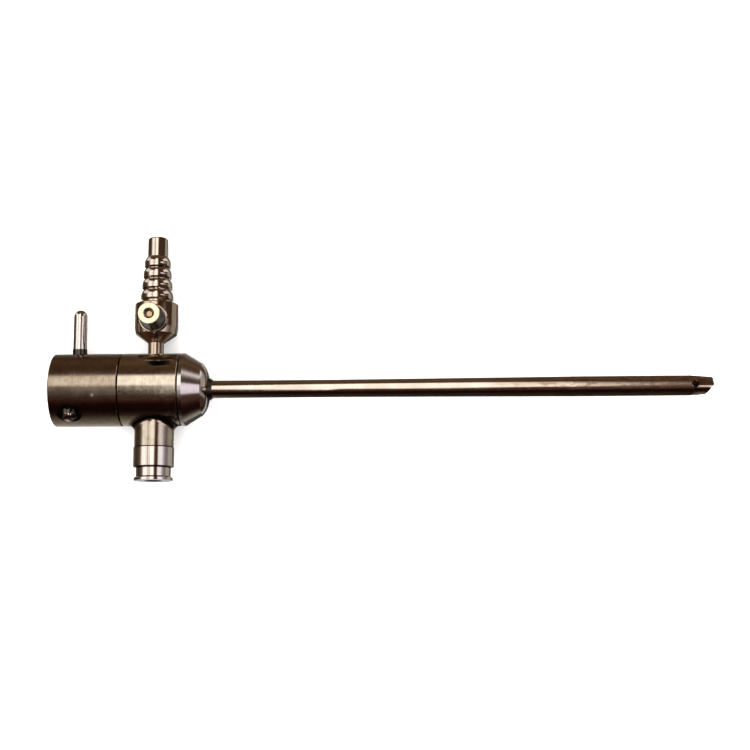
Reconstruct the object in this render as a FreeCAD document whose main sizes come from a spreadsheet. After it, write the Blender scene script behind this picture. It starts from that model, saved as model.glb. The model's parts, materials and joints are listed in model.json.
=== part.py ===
"""Arthroscope sheath: a slotted tip on a long tube, a turning manifold with two ports, and a locking hub.

The sheath lies along +X with its tip in front, and +Z points up. The origin is on the tube's axis
at the hub's rear face, where the telescope goes in. Angles round the tube are turned from +Z
towards +Y.
"""
import FreeCAD
import Part
import Sketcher
import math
import os

AXIS_X = FreeCAD.Vector(1, 0, 0)
AXIS_Y = FreeCAD.Vector(0, 1, 0)
AXIS_Z = FreeCAD.Vector(0, 0, 1)
CLOSE = 1e-3

SIZES = {
    # hub, from the rear face forwards
    "hub_radius": 10.0,
    "housing_length": 18.5,
    "sleeve_length": 15.9,
    "edge_break": 0.25,
    "swivel_end_gap": 0.06,
    "static_gap": 0.01,
    "cut_past": 1.0,
    "root_overlap": 0.3,
    "running_gap": 0.05,
    # rear socket and lock ring
    "retainer_wall": 1.2,
    "retainer_thickness": 1.6,
    "retainer_width": 2.6,
    "spanner_hole_radius": 0.5,
    "room_wall": 1.7,
    "ring_wall": 1.65,
    "ring_length": 8.2,
    "ring_end_gap": 0.06,
    "ring_travel": 34.0,
    "lug_reach": 0.85,
    "lug_offset": 5.0,
    "lug_width": 1.8,
    "lug_span": 36.0,
    "lug_angle": 60.0,
    "window_gap": 0.2,
    "washer_thickness": 0.35,
    # lock lever
    "lever_station": 6.3,
    "lever_angle": 98.0,
    "lever_radius": 1.85,
    "lever_foot_radius": 1.97,
    "lever_foot_height": 1.3,
    "lever_height": 12.4,
    "lever_tenon_radius": 1.2,
    "lever_side_gap": 0.18,
    "slot_flare": 1.1,
    "slot_flare_depth": 1.0,
    # release button
    "button_station": 5.4,
    "button_angle": -38.5,
    "button_travel": 1.1,
    "button_dome_radius": 2.3,
    "button_height": 1.85,
    "button_flange_radius": 2.6,
    "button_flange_height": 0.75,
    "button_pin_radius": 0.75,
    "button_pin_depth": 4.0,
    "cup_wall": 0.4,
    "cup_recess": 0.75,
    "cup_flare": 0.5,
    "button_spring_wire": 0.15,
    "button_spring_radius": 1.35,
    "button_spring_turns": 4.0,
    # spindle that the manifold turns on
    "head_wall": 3.0,
    "journal_radius": 5.8,
    "spigot_radius": 4.2,
    "spigot_length": 5.1,
    "seat_radius": 5.2,
    "seat_depth": 3.0,
    "guide_radius": 2.15,
    "guide_end": 20.6,
    "chamber_radius": 3.4,
    "cross_hole_radius": 1.3,
    "scope_seal_station": 16.8,
    "scope_seal_wire": 0.5,
    "scope_seal_inner": 2.0,
    "swivel_seal_wire": 0.6,
    "swivel_seal_inset": 2.6,
    "gland_extra": 0.15,
    "dowel_station": 12.0,
    "dowel_angle": -6.3,
    "dowel_radius": 0.45,
    "dowel_recess": 0.1,
    "dowel_reach": 1.4,
    # nose and ferrule
    "land_length": 1.2,
    "nose_drop": 2.85,
    "nose_length": 5.8,
    "dome_depth": 1.6,
    "dome_bulge": 6.6,
    "ferrule_radius": 3.3,
    "ferrule_tip_radius": 2.62,
    "ferrule_reach": 1.1,
    # tube
    "tube_radius": 2.42,
    "tube_wall": 0.3,
    "tube_tip_radius": 2.78,
    "tube_seat_depth": 6.4,
    "taper_start": 75.0,
    "taper_end": 142.0,
    "sheath_length": 180.4,
    "nose_taper_length": 5.7,
    "mouth_radius": 2.13,
    "mouth_wall": 0.22,
    "mouth_lip": 0.04,
    "mouth_edge": 0.3,
    "side_hole_setback": 5.25,
    "side_hole_radius": 1.0,
    "side_hole_angle": 9.0,
    "side_hole_spacing": 90.0,
    "side_hole_count": 3.0,
    "cut_setback": 0.5,
    "cut_height": 0.5,
    "cut_angle": 32.0,
    "cut_tilt": 16.0,
    # manifold
    "port_station": 27.2,
    "port_lean": 9.7,
    "sleeve_wall": 2.4,
    "annulus_width": 4.6,
    "neck_radius": 2.15,
    "neck_height": 2.95,
    "boss_radius": 5.3,
    "boss_height": 6.0,
    "boss_fillet": 1.8,
    "drain_radius": 2.0,
    # connector on the boss
    "connector_spigot_radius": 3.5,
    "connector_spigot_length": 3.5,
    "connector_bore_radius": 2.4,
    "collar_radius": 5.5,
    "collar_height": 5.4,
    "connector_neck_radius": 4.7,
    "connector_neck_height": 2.5,
    "flange_radius": 5.3,
    "flare_height": 0.4,
    "flange_height": 0.7,
    "gasket_radius": 4.6,
    "gasket_height": 0.5,
    # stopcock
    "shoulder_radius": 5.6,
    "shoulder_height": 5.4,
    "barrel_radius": 5.9,
    "barrel_start_height": 7.3,
    "barrel_height": 14.0,
    "flow_radius": 1.3,
    "plug_offset": 8.9,
    "plug_radius": 2.9,
    "plug_seat_depth": 1.3,
    "ring_boss_radius": 4.0,
    "ring_boss_height": 0.3,
    "plug_flange_radius": 3.55,
    "plug_flange_thickness": 1.0,
    "thrust_washer_thickness": 0.3,
    "stem_radius": 1.5,
    "stem_height": 4.3,
    "stem_end": 0.2,
    "nut_pocket_radius": 3.4,
    "spring_washer_radius": 3.05,
    "nut_across_flats": 4.6,
    "nut_height": 1.35,
    "knob_gap": 0.55,
    "knob_height": 5.95,
    "knob_base_radius": 3.5,
    "knob_face_radius": 2.95,
    "knob_hole_radius": 1.25,
    "screw_head_radius": 1.0,
    "screw_head_height": 1.0,
    "screw_shank_radius": 0.5,
    "screw_shank_length": 2.6,
    # hose barb
    "barb_spigot_radius": 3.0,
    "barb_spigot_length": 1.5,
    "barb_collar_radius": 3.6,
    "barb_offset": 1.1,
    "barb_count": 4.0,
    "barb_pitch": 3.1,
    "barb_rim_radius": 4.4,
    "barb_rim_step": 0.28,
    "barb_valley_radius": 3.65,
    "barb_valley_step": 0.22,
    "barb_undercut": 0.45,
    "barb_rim_width": 0.5,
    "barb_flank": 2.6,
    "barb_tube_radius": 2.75,
    "barb_length": 18.9,
    "barb_bore_radius": 1.9,
    "barb_tip_chamfer": 0.35,
}


class Size:
    """A length that carries both its value and the sheet expression it comes from."""

    def __init__(self, value, text):
        self.value = float(value)
        self.text = text

    def joined(self, other, sign, value):
        return Size(value, f"({self.text} {sign} {as_size(other).text})")

    def __add__(self, other):
        return self.joined(other, "+", self.value + as_size(other).value)

    def __sub__(self, other):
        return self.joined(other, "-", self.value - as_size(other).value)

    def __mul__(self, other):
        return self.joined(other, "*", self.value * as_size(other).value)

    def __truediv__(self, other):
        return self.joined(other, "/", self.value / as_size(other).value)

    def __neg__(self):
        return as_size(0) - self

    def cosine(self):
        return Size(math.cos(math.radians(self.value)), f"cos({self.text} * 1 deg)")


def as_size(number):
    return number if isinstance(number, Size) else Size(number, repr(float(number)))


doc = FreeCAD.newDocument("arthroscope_sheath")
sheet = doc.addObject("Spreadsheet::Sheet", "sizes")
size = {}
for row, (word, number) in enumerate(SIZES.items(), start=1):
    sheet.set(f"A{row}", word)
    sheet.set(f"B{row}", str(number))
    sheet.setAlias(f"B{row}", word)
    size[word] = Size(number, f"sizes.{word}")
doc.recompute()

pieces = []


# Named stations worked out from the driving sizes

sleeve_rear = size["housing_length"] + size["swivel_end_gap"]
sleeve_front = sleeve_rear + size["sleeve_length"]
nose_rear = sleeve_front + size["swivel_end_gap"]
nose_edge = nose_rear + size["nose_length"]
nose_front = nose_edge + size["dome_depth"]
spigot_front = nose_rear + size["spigot_length"]
tube_rear = spigot_front - size["tube_seat_depth"]
ring_rear = size["retainer_thickness"] + size["ring_end_gap"]
ring_front = ring_rear + size["ring_length"]
washer_rear = ring_front + size["ring_end_gap"]
room_front = washer_rear + size["washer_thickness"]
head_rear = room_front + size["static_gap"]
chamber_front = tube_rear - size["static_gap"]

# Radii and heights measured from the hub's surface

hub = size["hub_radius"]
retainer_radius = hub - size["retainer_wall"]
socket_radius = retainer_radius - size["retainer_width"]
room_radius = hub - size["room_wall"]
ring_radius = room_radius - size["running_gap"]
ring_inner_radius = ring_radius - size["ring_wall"]
lug_radius = ring_inner_radius - size["lug_reach"]
head_radius = hub - size["head_wall"]
dowel_foot = head_radius - size["dowel_reach"]
annulus_radius = hub - size["sleeve_wall"]
nose_front_radius = hub - size["nose_drop"]
lever_foot_top = hub + size["lever_foot_height"]
lever_tip = hub + size["lever_height"]
button_top = hub + size["button_height"]
button_pin_end = hub - size["button_pin_depth"]
cup_radius = size["button_flange_radius"] + size["running_gap"] + size["cup_wall"]
cup_top = hub - size["cup_recess"]
flange_top = cup_top - size["cup_wall"] - size["running_gap"]
flange_bottom = flange_top - size["button_flange_height"]
cup_bottom = flange_bottom - size["button_travel"] - size["cup_wall"]
neck_top = hub + size["neck_height"]
boss_top = hub + size["boss_height"]
shoulder_top = hub + size["shoulder_height"]
barrel_start = hub + size["barrel_start_height"]
barrel_top = hub + size["barrel_height"]
plug_height = hub + size["plug_offset"]
barb_start = barrel_top + size["barb_offset"]
barb_tip = barrel_top + size["barb_length"]

# Heights along the plug, measured from the barrel's surface

barrel = size["barrel_radius"]
plug_seat = barrel - size["plug_seat_depth"]
ring_boss_top = barrel + size["ring_boss_height"]
stem_top = barrel + size["stem_height"]
stem_bottom = barrel + size["stem_end"]
knob_base = barrel + size["knob_gap"]
knob_top = knob_base + size["knob_height"]


def find_plane(body, role):
    for feature in body.Origin.OriginFeatures:
        if feature.Role == role:
            return feature
    raise LookupError(role)


def new_body(label, placement=None):
    """Starts one sub-part, whose label becomes its file name."""
    body = doc.addObject("PartDesign::Body", label)
    body.Label = label
    body.Placement = placement or FreeCAD.Placement()
    pieces.append(body)
    return body


def new_sketch(body, name, role, station=None, angle=None):
    """A sketch on an origin plane, moved along X and turned round X by an angle from +Z towards +Y."""
    sketch = body.newObject("Sketcher::SketchObject", f"{body.Label}_{name}")
    sketch.AttachmentSupport = [(find_plane(body, role), "")]
    sketch.MapMode = "FlatFace"
    turn = FreeCAD.Rotation(AXIS_X, -angle.value) if angle is not None else FreeCAD.Rotation()
    base = FreeCAD.Vector(station.value, 0, 0) if station is not None else FreeCAD.Vector()
    sketch.AttachmentOffset = FreeCAD.Placement(base, turn)
    if station is not None:
        sketch.setExpression("AttachmentOffset.Base.x", station.text)
    return sketch


def hold_point(sketch, geometry, corner, across, up):
    """Fixes a corner of the outline to its two named distances from the sketch's origin."""
    for kind, amount in (("DistanceX", across), ("DistanceY", up)):
        if abs(amount.value) < 1e-9:
            axis = -2 if kind == "DistanceX" else -1
            sketch.addConstraint(Sketcher.Constraint("PointOnObject", geometry, corner, axis))
            continue
        if amount.value > 0:
            ends = (-1, 1, geometry, corner)
        else:
            ends = (geometry, corner, -1, 1)
            amount = -amount
        index = sketch.addConstraint(Sketcher.Constraint(kind, *ends, amount.value))
        sketch.setExpression(f"Constraints[{index}]", amount.text)


def arc_between(start, end, radius):
    """An arc from start to end that bulges to the left of its chord for a positive radius."""
    chord = end - start
    side = FreeCAD.Vector(-chord.y, chord.x, 0).normalize()
    depth = math.sqrt(max(radius * radius - chord.Length * chord.Length / 4, 0))
    centre = (start + end) / 2 - side * math.copysign(depth, radius)
    first, last = (end, start) if radius > 0 else (start, end)
    angles = [math.atan2(point.y - centre.y, point.x - centre.x) for point in (first, last)]
    circle = Part.Circle(centre, AXIS_Z, abs(radius))
    return Part.ArcOfCircle(circle, *angles)


def draw_outline(sketch, corners):
    """Draws a closed outline of (across, up) corners; a third value bends the edge that follows."""
    corners = [[as_size(value) for value in corner] for corner in corners]
    points = [FreeCAD.Vector(corner[0].value, corner[1].value, 0) for corner in corners]
    count = len(points)
    for index, corner in enumerate(corners):
        start, end = points[index], points[(index + 1) % count]
        if len(corner) == 3:
            sketch.addGeometry(arc_between(start, end, corner[2].value), False)
        else:
            sketch.addGeometry(Part.LineSegment(start, end), False)
    starts = [start_corner(sketch, index, points[index]) for index in range(count)]
    for index in range(count):
        following = (index + 1) % count
        ends = (index, 3 - starts[index], following, starts[following])
        sketch.addConstraint(Sketcher.Constraint("Coincident", *ends))
    for index, corner in enumerate(corners):
        hold_point(sketch, index, starts[index], corner[0], corner[1])
        if len(corner) == 3:
            bend = corner[2] if corner[2].value > 0 else -corner[2]
            number = sketch.addConstraint(Sketcher.Constraint("Radius", index, bend.value))
            sketch.setExpression(f"Constraints[{number}]", bend.text)


def start_corner(sketch, index, point):
    """An arc may be stored backwards, so this tells which of its ends is the outline's start."""
    curve = sketch.Geometry[index]
    return 1 if curve.StartPoint.distanceToPoint(point) < 1e-6 else 2


def turned(body, name, corners, cut=False, station=None, angle=None, axis="H_Axis", span=None):
    """Turns an outline round an axis of its sketch, to add material or to cut it away."""
    before = body.Tip
    sketch = new_sketch(body, f"{name}_outline", "XZ_Plane", station, angle)
    draw_outline(sketch, corners)
    kind = "PartDesign::Groove" if cut else "PartDesign::Revolution"
    feature = body.newObject(kind, f"{body.Label}_{name}")
    feature.Profile = sketch
    feature.ReferenceAxis = (sketch, [axis])
    feature.Angle = 360
    if span is not None:
        feature.setExpression("Angle", span.text)
        feature.Angle = span.value
    return finish_feature(body, feature, before, not cut)


def finish_feature(body, feature, before, grows):
    """Recomputes one feature and makes sure that it added or removed material."""
    volume = before.Shape.Volume if before is not None else 0
    body.Tip = feature
    doc.recompute()
    if (feature.Shape.Volume > volume) != grows or feature.Shape.Volume == volume:
        raise RuntimeError(f"{feature.Name} left the solid unchanged")
    return feature


def drilled(body, name, radius, station, angle, start, end):
    """Cuts a straight radial hole between two distances from the X axis."""
    corners = [(0, start), (radius, start), (radius, end), (0, end)]
    return turned(body, name, corners, cut=True, station=station, angle=angle, axis="V_Axis")


def repeated(body, feature, count, name, span=None):
    """Repeats a feature evenly round the body's X axis, or over a span of it."""
    pattern = body.newObject("PartDesign::PolarPattern", f"{body.Label}_{name}")
    pattern.Originals = [feature]
    pattern.Axis = (find_plane(body, "X_Axis"), [""])
    pattern.Angle = 360 if span is None else span.value
    if span is not None:
        pattern.setExpression("Angle", span.text)
    pattern.setExpression("Occurrences", count.text)
    pattern.Occurrences = round(count.value)
    grows = feature.TypeId == "PartDesign::Revolution"
    return finish_feature(body, pattern, feature, grows)


def ring_outline(inner, outer, rear, front, chamfer=None):
    """The section of a plain ring, with both outer edges broken where a chamfer is given."""
    if chamfer is None:
        return [(rear, inner), (front, inner), (front, outer), (rear, outer)]
    return [
        (rear, inner), (front, inner), (front, outer - chamfer),
        (front - chamfer, outer), (rear + chamfer, outer), (rear, outer - chamfer),
    ]


def port_placement(direction):
    """Turns a piece drawn along X so that it stands on the manifold, its +Z side to the viewer."""
    lean = size["port_lean"].value
    turn = FreeCAD.Rotation(AXIS_X, -lean) * FreeCAD.Rotation(AXIS_Z, 90 * direction)
    return FreeCAD.Placement(FreeCAD.Vector(size["port_station"].value, 0, 0), turn)


def plug_placement():
    """Turns a piece drawn along X to the plug's axis, which crosses the upper port."""
    port = port_placement(1)
    turn = port.Rotation * FreeCAD.Rotation(AXIS_Y, -90)
    centre = port.multVec(FreeCAD.Vector(plug_height.value, 0, 0))
    return FreeCAD.Placement(centre, turn)


def radial_placement(station, angle):
    """Turns a piece drawn along X to stand radially on the hub."""
    turn = FreeCAD.Rotation(AXIS_X, -angle.value) * FreeCAD.Rotation(AXIS_Y, -90)
    return FreeCAD.Placement(FreeCAD.Vector(station.value, 0, 0), turn)


# Rear coupling

def coupling_housing():
    """The rear body of the hub, with the room for the lock ring and holes for what passes its wall."""
    body = new_body("coupling_housing")
    outer = size["hub_radius"]
    chamfer = size["edge_break"]
    head = head_radius + size["static_gap"]
    retainer = retainer_radius + size["static_gap"]
    turned(body, "wall", [
        (0, retainer), (size["retainer_thickness"], retainer),
        (size["retainer_thickness"], room_radius), (room_front, room_radius),
        (room_front, head), (size["housing_length"], head),
        (size["housing_length"], outer - chamfer), (size["housing_length"] - chamfer, outer),
        (chamfer, outer), (0, outer - chamfer),
    ])
    cut_lever_slot(body)
    cut_button_hole(body)
    dowel = size["dowel_radius"] + size["static_gap"]
    drilled(body, "dowel_hole", dowel, size["dowel_station"], size["dowel_angle"],
            head_radius - size["cut_past"], outer + size["cut_past"])
    return body


def slot_outline(half_width):
    """Half of the flared section that the lever's slot has, from inside the room to past the hub."""
    floor = room_radius - size["cut_past"]
    flare_start = size["hub_radius"] - size["slot_flare_depth"]
    past = size["hub_radius"] + size["cut_past"]
    flare = half_width + size["slot_flare"] * (past - flare_start) / size["slot_flare_depth"]
    return [(half_width, floor), (half_width, flare_start), (flare, past)], floor, past


def cut_lever_slot(body):
    """A flared slot as long as the lock ring's travel, with a round end at each stop."""
    half_width = size["lever_foot_radius"] + size["lever_side_gap"]
    side, floor, past = slot_outline(half_width)
    first = size["lever_angle"]
    last = size["lever_angle"] + size["ring_travel"]
    station = size["lever_station"]
    for name, angle in (("slot_start", first), ("slot_end", last)):
        corners = [(0, floor)] + side + [(0, past)]
        turned(body, name, corners, cut=True, station=station, angle=angle, axis="V_Axis")
    mirrored = [(-across, up) for across, up in reversed(side)]
    turned(body, "slot_middle", side + mirrored, cut=True, station=station, angle=last,
           span=size["ring_travel"])


def cut_button_hole(body):
    """The countersunk hole that holds the button's cup."""
    radius = cup_radius + size["static_gap"]
    floor = room_radius - size["cut_past"]
    rim = cup_top + size["running_gap"]
    past = size["hub_radius"] + size["cut_past"]
    corners = [
        (0, floor), (radius, floor), (radius, rim),
        (radius + (past - rim) * size["cup_flare"], past), (0, past),
    ]
    turned(body, "button_hole", corners, cut=True, station=size["button_station"],
           angle=size["button_angle"], axis="V_Axis")


def rear_retainer():
    """The threaded ring that closes the room and takes the telescope's socket end."""
    body = new_body("rear_retainer")
    turned(body, "ring", ring_outline(
        socket_radius, retainer_radius, as_size(0), size["retainer_thickness"]))
    middle = (socket_radius + retainer_radius) / 2
    sketch = new_sketch(body, "spanner_outline", "YZ_Plane")
    index = sketch.addGeometry(Part.Circle(
        FreeCAD.Vector(0, middle.value, 0), AXIS_Z, size["spanner_hole_radius"].value))
    sketch.addConstraint(Sketcher.Constraint("PointOnObject", index, 3, -2))
    for kind, ends, amount in (
            ("DistanceY", (-1, 1, index, 3), middle),
            ("Radius", (index,), size["spanner_hole_radius"])):
        number = sketch.addConstraint(Sketcher.Constraint(kind, *ends, amount.value))
        sketch.setExpression(f"Constraints[{number}]", amount.text)
    ring = body.Tip
    pocket = body.newObject("PartDesign::Pocket", "rear_retainer_spanner_hole")
    pocket.Profile = sketch
    pocket.Reversed = True
    pocket.setExpression("Length", (size["retainer_thickness"] / 2).text)
    finish_feature(body, pocket, ring, False)
    repeated(body, pocket, as_size(2), "spanner_holes")


def lock_ring():
    """Turns in the housing, catches the telescope with two lugs and clears the button's cup."""
    body = new_body("lock_ring")
    turned(body, "band", ring_outline(
        ring_inner_radius, ring_radius, ring_rear, ring_front, size["edge_break"]))
    lug_rear = ring_rear + size["lug_offset"]
    lug = turned(body, "lug", ring_outline(
        lug_radius, ring_inner_radius + size["root_overlap"], lug_rear, lug_rear + size["lug_width"]),
        angle=size["lug_angle"], span=size["lug_span"])
    repeated(body, lug, as_size(2), "lugs")
    cut_ring_window(body)
    drilled(body, "tenon_hole", size["lever_tenon_radius"] + size["static_gap"], size["lever_station"],
            size["lever_angle"], ring_inner_radius - size["cut_past"],
            ring_radius + size["cut_past"])


def cut_ring_window(body):
    """A window long enough for the cup at both ends of the ring's travel."""
    side = cup_radius + size["window_gap"]
    half_angle = math.degrees(math.asin(side.value / cup_bottom.value))
    first = size["button_angle"] - size["ring_travel"] - half_angle
    span = size["ring_travel"] + 2 * half_angle
    corners = ring_outline(
        lug_radius - size["cut_past"], ring_radius + size["cut_past"], -side, side)
    turned(body, "window", corners, cut=True, station=size["button_station"], angle=first + span,
           span=span)


def lever_pin():
    """The round-ended pin that turns the lock ring."""
    body = new_body("lever_pin", radial_placement(size["lever_station"], size["lever_angle"]))
    foot = ring_radius + size["running_gap"]
    radius = size["lever_radius"]
    tip = lever_tip
    turned(body, "pin", [
        (ring_inner_radius + size["edge_break"], 0),
        (ring_inner_radius + size["edge_break"], size["lever_tenon_radius"]),
        (foot, size["lever_tenon_radius"]), (foot, size["lever_foot_radius"]),
        (lever_foot_top, size["lever_foot_radius"]), (lever_foot_top, radius),
        (tip - radius, radius, radius), (tip, 0),
    ])


def ring_washer():
    """The thin spring washer that gives the lock ring its drag."""
    body = new_body("ring_washer")
    turned(body, "ring", ring_outline(
        ring_inner_radius + size["edge_break"], ring_radius, washer_rear, room_front))


# Release button

def button_cup():
    """The cup in the housing's wall that holds the button and its spring."""
    body = new_body("button_cup", radial_placement(size["button_station"], size["button_angle"]))
    wall = size["cup_wall"]
    inside = size["button_flange_radius"] + size["running_gap"]
    mouth = size["button_dome_radius"] + size["running_gap"]
    hole = size["button_pin_radius"] + size["running_gap"]
    bottom, top = cup_bottom, cup_top
    turned(body, "shell", [
        (bottom, hole), (bottom, cup_radius), (top, cup_radius), (top, mouth),
        (top - wall, mouth), (top - wall, inside), (bottom + wall, inside), (bottom + wall, hole),
    ])


def release_button():
    """The domed button, hollow for its spring, with the pin that releases the telescope."""
    body = new_body("release_button", radial_placement(size["button_station"], size["button_angle"]))
    dome = size["button_dome_radius"]
    bore = size["button_spring_radius"] + size["button_spring_wire"] + size["running_gap"]
    floor = button_top - dome
    turned(body, "plunger", [
        (button_pin_end, 0), (button_pin_end, size["button_pin_radius"]),
        (floor, size["button_pin_radius"]), (floor, bore), (flange_bottom, bore),
        (flange_bottom, size["button_flange_radius"]), (flange_top, size["button_flange_radius"]),
        (flange_top, dome), (floor, dome, dome), (button_top, 0),
    ])


def button_spring():
    """A small compression spring of square wire between the cup's floor and the button."""
    wire = size["button_spring_wire"].value
    radius = size["button_spring_radius"].value
    gap = size["static_gap"].value
    floor = (cup_bottom + size["cup_wall"]).value + wire + gap
    top = (button_top - size["button_dome_radius"]).value - wire - gap
    pitch = (top - floor) / size["button_spring_turns"].value
    helix = Part.makeHelix(pitch, top - floor, radius)
    inner, outer = radius - wire, radius + wire
    section = [(inner, -wire), (outer, -wire), (outer, wire), (inner, wire), (inner, -wire)]
    profile = Part.makePolygon([FreeCAD.Vector(across, 0, up) for across, up in section])
    coil = Part.Wire(helix).makePipeShell([profile], True, True)
    spring = doc.addObject("Part::Feature", "button_spring")
    spring.Label = "button_spring"
    spring.Shape = coil
    turn = FreeCAD.Rotation(AXIS_X, -size["button_angle"].value)
    foot = FreeCAD.Vector(size["button_station"].value, 0, 0) + turn.multVec(FreeCAD.Vector(0, 0, floor))
    spring.Placement = FreeCAD.Placement(foot, turn)
    pieces.append(spring)


# Spindle, seals and dowel

def gland(body, name, station, floor, mouth, wire):
    """Cuts a seal's groove between two radii, a little wider than the seal."""
    half = wire + size["gland_extra"]
    corners = ring_outline(floor, mouth, station - half, station + half)
    turned(body, name, corners, cut=True)


def seal_stations():
    return {
        "swivel_seal_rear": sleeve_rear + size["swivel_seal_inset"],
        "swivel_seal_front": sleeve_front - size["swivel_seal_inset"],
    }


def core_spindle():
    """The bored spindle that the housing, nose and tube are fixed to and the manifold turns on."""
    body = new_body("core_spindle")
    seat_front = head_rear + size["seat_depth"]
    turned(body, "spindle", [
        (head_rear, size["seat_radius"]), (seat_front, size["guide_radius"]),
        (size["guide_end"], size["guide_radius"]), (size["guide_end"], size["chamber_radius"]),
        (chamber_front, size["chamber_radius"]), (chamber_front, size["tube_radius"] + size["static_gap"]),
        (spigot_front, size["tube_radius"] + size["static_gap"]), (spigot_front, size["spigot_radius"]),
        (nose_rear, size["spigot_radius"]), (nose_rear, size["journal_radius"]),
        (size["housing_length"], size["journal_radius"]), (size["housing_length"], head_radius),
        (head_rear, head_radius),
    ])
    wire = size["swivel_seal_wire"]
    for name, station in seal_stations().items():
        floor = size["journal_radius"] - wire * 2
        gland(body, f"{name}_groove", station, floor,
              size["journal_radius"] + size["cut_past"], wire)
    wire = size["scope_seal_wire"]
    gland(body, "scope_seal_groove", size["scope_seal_station"], size["guide_radius"] - size["cut_past"],
          size["scope_seal_inner"] + wire * 2, wire)
    hole = drilled(body, "cross_hole", size["cross_hole_radius"], size["port_station"], size["port_lean"],
                   size["chamber_radius"] - size["cut_past"], size["journal_radius"] + size["cut_past"])
    repeated(body, hole, as_size(4), "cross_holes")
    dowel = size["dowel_radius"] + size["static_gap"]
    drilled(body, "dowel_hole", dowel, size["dowel_station"], size["dowel_angle"],
            dowel_foot, head_radius + size["cut_past"])


def seal_ring(label, station, centre, wire):
    """A rubber ring of round section, lying in a groove round the X axis."""
    ring = doc.addObject("Part::Torus", label)
    ring.Label = label
    ring.setExpression("Radius1", centre.text)
    ring.setExpression("Radius2", wire.text)
    ring.Placement = FreeCAD.Placement(FreeCAD.Vector(station.value, 0, 0), FreeCAD.Rotation(AXIS_Y, 90))
    ring.setExpression("Placement.Base.x", station.text)
    pieces.append(ring)


def seals():
    wire = size["swivel_seal_wire"]
    for label, station in seal_stations().items():
        seal_ring(label, station, size["journal_radius"] - wire, wire)
    wire = size["scope_seal_wire"]
    seal_ring("telescope_seal", size["scope_seal_station"], size["scope_seal_inner"] + wire, wire)


def housing_dowel():
    """The flush pin that keeps the housing from unscrewing."""
    body = new_body("housing_dowel", radial_placement(size["dowel_station"], size["dowel_angle"]))
    top = size["hub_radius"] - size["dowel_recess"]
    turned(body, "pin", [
        (dowel_foot + size["static_gap"], 0),
        (dowel_foot + size["static_gap"], size["dowel_radius"]),
        (top, size["dowel_radius"]), (top, 0),
    ])


# Nose, ferrule and tube

def nose_cone():
    """The front of the hub: a short land, a cone and a domed face round the tube."""
    body = new_body("nose_cone")
    bore = size["spigot_radius"] + size["static_gap"]
    mouth = size["ferrule_radius"] + size["static_gap"]
    land = nose_rear + size["land_length"]
    turned(body, "shell", [
        (nose_rear, bore), (nose_rear, size["hub_radius"] - size["edge_break"]),
        (nose_rear + size["edge_break"], size["hub_radius"]), (land, size["hub_radius"]),
        (nose_edge, nose_front_radius, size["dome_bulge"]), (nose_front, mouth),
        (spigot_front, mouth), (spigot_front, bore),
    ])


def tube_ferrule():
    """The collar soldered round the tube's root, with a tapered lip."""
    body = new_body("tube_ferrule")
    bore = size["tube_radius"] + size["static_gap"]
    rear = spigot_front + size["static_gap"]
    turned(body, "collar", [
        (rear, bore), (nose_front + size["ferrule_reach"], bore),
        (nose_front + size["ferrule_reach"], size["ferrule_tip_radius"]),
        (nose_front, size["ferrule_radius"]), (rear, size["ferrule_radius"]),
    ])


def sheath_tube():
    """The long tube, which widens gently and ends in a tapered, obliquely cut mouth."""
    body = new_body("sheath_tube")
    front = size["sheath_length"]
    wall = size["tube_wall"]
    nose = front - size["nose_taper_length"]
    mouth = size["mouth_radius"]
    rim = mouth + size["mouth_wall"]
    turned(body, "wall", [
        (tube_rear, size["tube_radius"] - wall), (size["taper_start"], size["tube_radius"] - wall),
        (size["taper_end"], size["tube_tip_radius"] - wall), (nose, size["tube_tip_radius"] - wall),
        (front, mouth), (front, mouth + size["mouth_lip"]), (front - size["mouth_edge"], rim),
        (nose, size["tube_tip_radius"]),
        (size["taper_end"], size["tube_tip_radius"]), (size["taper_start"], size["tube_radius"]),
        (tube_rear, size["tube_radius"]),
    ])
    station = front - size["side_hole_setback"]
    hole = drilled(body, "side_hole", size["side_hole_radius"], station,
                   size["side_hole_angle"] + size["side_hole_spacing"],
                   size["tube_wall"], size["tube_tip_radius"] + size["cut_past"])
    between = size["side_hole_count"] - 1
    repeated(body, hole, size["side_hole_count"], "side_holes", size["side_hole_spacing"] * between)
    cut_mouth(body)


def cut_mouth(body):
    """Cuts the mouth at a slant, so that its upper side stands out as a short beak."""
    before = body.Tip
    sketch = new_sketch(body, "mouth_outline", "XY_Plane")
    turn = FreeCAD.Rotation(AXIS_X, size["cut_tilt"].value)
    sketch.AttachmentOffset = FreeCAD.Placement(FreeCAD.Vector(), turn)
    top = size["cut_height"]
    near = size["sheath_length"] - size["cut_setback"]
    past = size["sheath_length"] + size["cut_past"]
    drop = size["tube_tip_radius"] * 2.5
    back = size["cut_angle"]
    slant = Size(math.tan(math.radians(back.value)), f"tan({back.text} * 1 deg)")
    draw_outline(sketch, [
        (near, top), (near - drop * slant, top - drop), (past, top - drop), (past, top),
    ])
    pocket = body.newObject("PartDesign::Pocket", "sheath_tube_mouth")
    pocket.Profile = sketch
    pocket.Midplane = True
    pocket.setExpression("Length", (size["tube_tip_radius"] * 4).text)
    finish_feature(body, pocket, before, False)


# Manifold and its ports

def manifold_sleeve():
    """The middle of the hub, which turns on the spindle and carries both ports."""
    body = new_body("manifold_sleeve")
    outer = size["hub_radius"]
    chamfer = size["edge_break"]
    turned(body, "band", ring_outline(annulus_radius, outer, sleeve_rear, sleeve_front, chamfer))
    lean = size["port_lean"] - 90
    root = annulus_radius + size["root_overlap"]
    turned(body, "boss", [
        (0, root), (size["boss_radius"], root),
        (size["boss_radius"], boss_top), (0, boss_top),
    ], station=size["port_station"], angle=lean, axis="V_Axis")
    blend_boss(body)
    line_sleeve(body)
    drill_ports(body, lean)


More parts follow.
